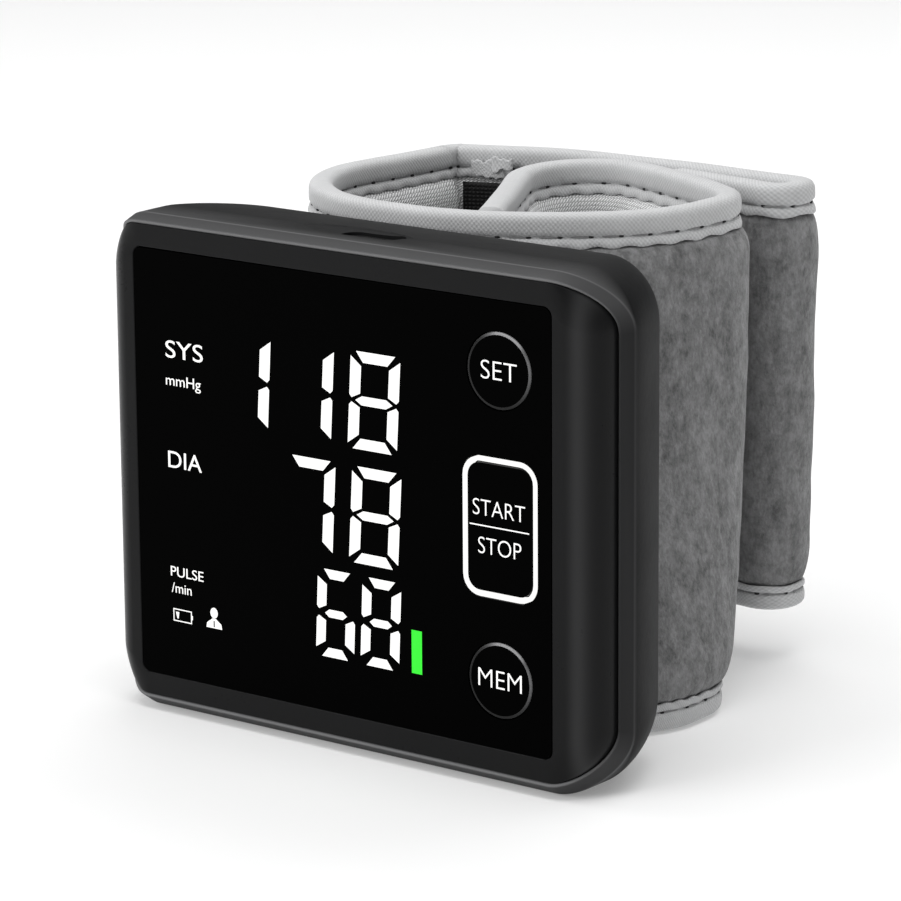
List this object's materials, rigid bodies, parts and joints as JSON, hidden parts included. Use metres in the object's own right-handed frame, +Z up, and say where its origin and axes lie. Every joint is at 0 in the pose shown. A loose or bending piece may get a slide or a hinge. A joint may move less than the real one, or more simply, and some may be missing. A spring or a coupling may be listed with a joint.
{
  "type": "wrist blood pressure monitor",
  "caption": "Wrist blood pressure monitor: rounded rectangular black casing with a flush display and side keys, standing on end with its padded wrist cuff folded behind it.",
  "frame": {"origin": "centre of the bounding box's underside, on the surface that it stands on", "axes": "+X to the right as seen from the display side, +Y from the display back to the cuff, +Z up"},
  "size_m": [0.0804, 0.0756, 0.0662],
  "materials": {
    "cover_plastic": "fine satin black",
    "shell_plastic": "fine satin dark grey",
    "panel_gloss": "gloss black",
    "ring_white": "white, lit from behind",
    "board_green": "solder mask green",
    "steel": "plain",
    "part_black": "moulded black",
    "light_bar": "translucent white",
    "cell_foil": "foil pouch",
    "tube_rubber": "soft grey",
    "felt_grey": "brushed loop felt",
    "mesh_grey": "knitted mesh",
    "tape_grey": "woven binding tape with a stitch line",
    "natural_plastic": "natural"
  },
  "bodies": {
    "monitor": {"front_cover": "cover_plastic", "display_window": "panel_gloss", "start_stop_ring": "ring_white", "rear_shell": "shell_plastic", "case_screw_1": "steel", "case_screw_2": "steel", "case_screw_3": "steel", "case_screw_4": "steel", "cuff_screw_1": "steel", "cuff_screw_2": "steel", "main_board": "board_green", "display_mask": "part_black", "display_light_bars": "light_bar", "set_switch": "part_black", "start_stop_switch": "part_black", "mem_switch": "part_black", "usb_receptacle": "steel", "battery_cell": "cell_foil", "pump_motor": "steel", "pump_head": "natural_plastic", "release_valve": "part_black", "pressure_sensor": "natural_plastic", "buzzer": "part_black", "air_tube": "tube_rubber", "sleeve_felt": "felt_grey", "sleeve_lining": "mesh_grey", "sleeve_top_binding": "tape_grey", "sleeve_bottom_binding": "tape_grey", "cuff_stiffener": "natural_plastic", "air_bladder": "tube_rubber"},
    "set_button": {"set_key": "panel_gloss"},
    "start_stop_button": {"start_stop_key": "panel_gloss"},
    "mem_button": {"mem_key": "panel_gloss"},
    "cuff_flap": {"flap_felt": "felt_grey", "flap_lining": "mesh_grey", "flap_top_binding": "tape_grey", "flap_bottom_binding": "tape_grey", "flap_padding": "natural_plastic", "hook_patch": "part_black", "binding_tail": "tape_grey"}
  },
  "joints": [
    {"name": "set_press", "type": "slide", "parent": "monitor", "child": "set_button", "axis": [0, 1, 0], "range_m": [0, 0.0005], "stiffness_N_per_m": 400},
    {"name": "start_stop_press", "type": "slide", "parent": "monitor", "child": "start_stop_button", "axis": [0, 1, 0], "range_m": [0, 0.0005], "stiffness_N_per_m": 400},
    {"name": "mem_press", "type": "slide", "parent": "monitor", "child": "mem_button", "axis": [0, 1, 0], "range_m": [0, 0.0005], "stiffness_N_per_m": 400},
    {"name": "flap_hinge", "type": "hinge", "parent": "monitor", "child": "cuff_flap", "pos_m": [-0.0338, 0.02816, 0.033], "axis": [0, 0, 1], "range_deg": [0, 110]}
  ]
}
